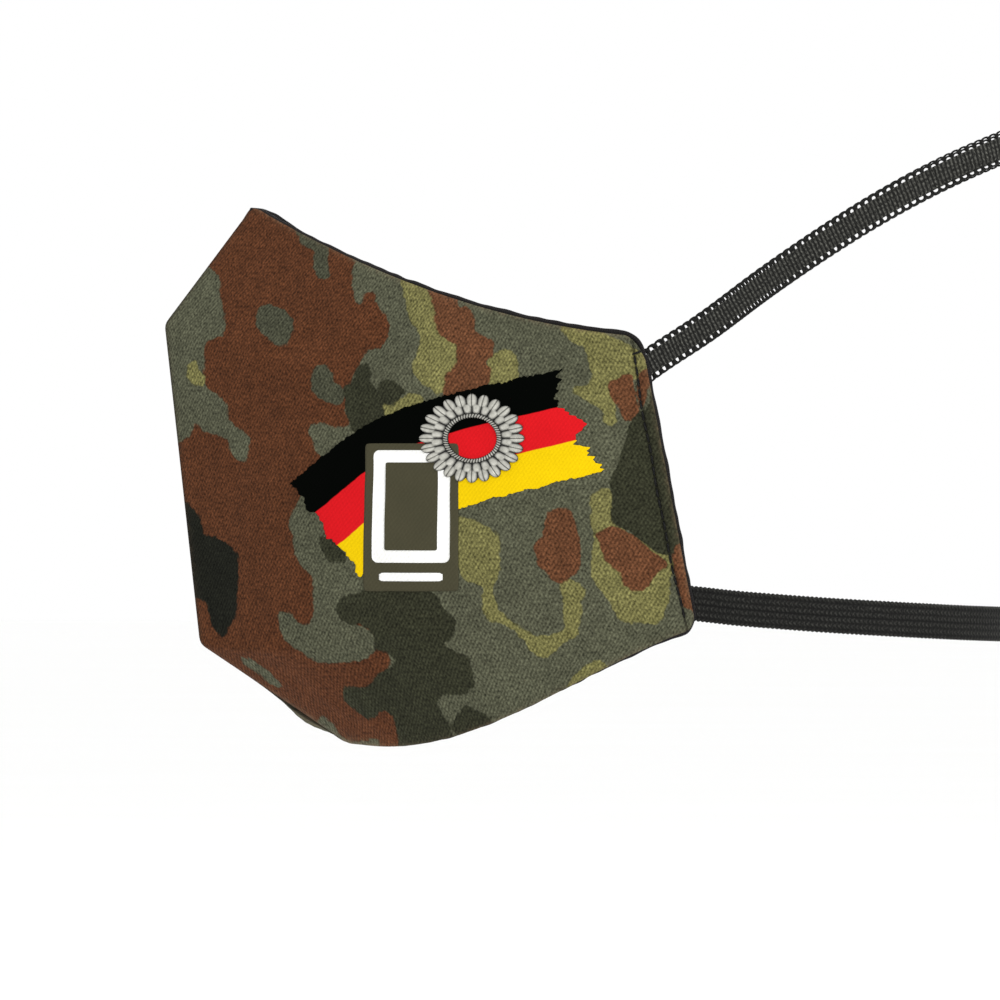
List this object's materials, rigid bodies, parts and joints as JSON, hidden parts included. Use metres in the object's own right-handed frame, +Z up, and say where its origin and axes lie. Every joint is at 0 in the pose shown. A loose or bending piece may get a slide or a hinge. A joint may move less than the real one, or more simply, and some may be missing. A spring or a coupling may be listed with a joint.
{
  "type": "cloth face mask",
  "caption": "Fitted cloth face mask of mirrored camouflage panels over a dark lining, joined by a curved centre-front seam, with flat elastic straps for the crown and nape.",
  "frame": {"origin": "in the mid-plane at mouth height, level with the middle of the rear hems, where the mask sits on the face", "axes": "+Z up, the face looks toward -Y, +X is the wearer's left"},
  "size_m": [0.1514, 0.2311, 0.1573],
  "materials": {
    "camo_twill": "matt cotton twill printed in five camouflage colours",
    "lining_cloth": "matt black plain-weave cotton",
    "black_thread": "satin polyester sewing thread",
    "black_elastic": "matt ribbed elastic braid with lighter picot edges",
    "stroke_ink": "matt print in black, red and yellow bands",
    "panel_ink": "matt olive print with a white border",
    "badge_ink": "satin silver-grey print"
  },
  "bodies": {
    "centre_seam": {"seam_allowance": "camo_twill", "shell_seam_thread": "black_thread", "lining_seam_thread": "black_thread"},
    "left_half": {"shell_left": "camo_twill", "lining_left": "lining_cloth", "side_topstitch_left": "black_thread", "top_edge_thread_left": "black_thread", "bottom_edge_thread_left": "black_thread", "upper_strap_end_left": "black_elastic", "lower_strap_end_left": "black_elastic", "print_stroke": "stroke_ink", "print_panel": "panel_ink", "print_badge": "badge_ink"},
    "right_half": {"shell_right": "camo_twill", "lining_right": "lining_cloth", "side_topstitch_right": "black_thread", "top_edge_thread_right": "black_thread", "bottom_edge_thread_right": "black_thread", "upper_strap_end_right": "black_elastic", "lower_strap_end_right": "black_elastic"},
    "upper_strap": {"upper_strap": "black_elastic"},
    "lower_strap": {"lower_strap": "black_elastic"}
  },
  "joints": [
    {"name": "left_fold", "type": "hinge", "parent": "centre_seam", "child": "left_half", "pos_m": [0, -0.094, 0.0667], "axis": [0, -0.1695, 0.9855], "range_deg": [0, 33], "deforming": ["upper_strap", "lower_strap"]},
    {"name": "right_fold", "type": "hinge", "parent": "centre_seam", "child": "right_half", "pos_m": [0, -0.094, 0.0667], "axis": [0, -0.1695, 0.9855], "range_deg": [-33, 0]},
    {"name": "upper_strap_swing", "type": "hinge", "parent": "centre_seam", "child": "upper_strap", "pos_m": [0, -0.0052, 0.028], "axis": [1, 0, 0], "range_deg": [-30, 60]},
    {"name": "lower_strap_swing", "type": "hinge", "parent": "centre_seam", "child": "lower_strap", "pos_m": [0, 0.0054, -0.0282], "axis": [1, 0, 0], "range_deg": [-60, 20]}
  ],
  "couplings": [
    {"joint": "right_fold", "follows": "left_fold", "ratio": -1}
  ]
}
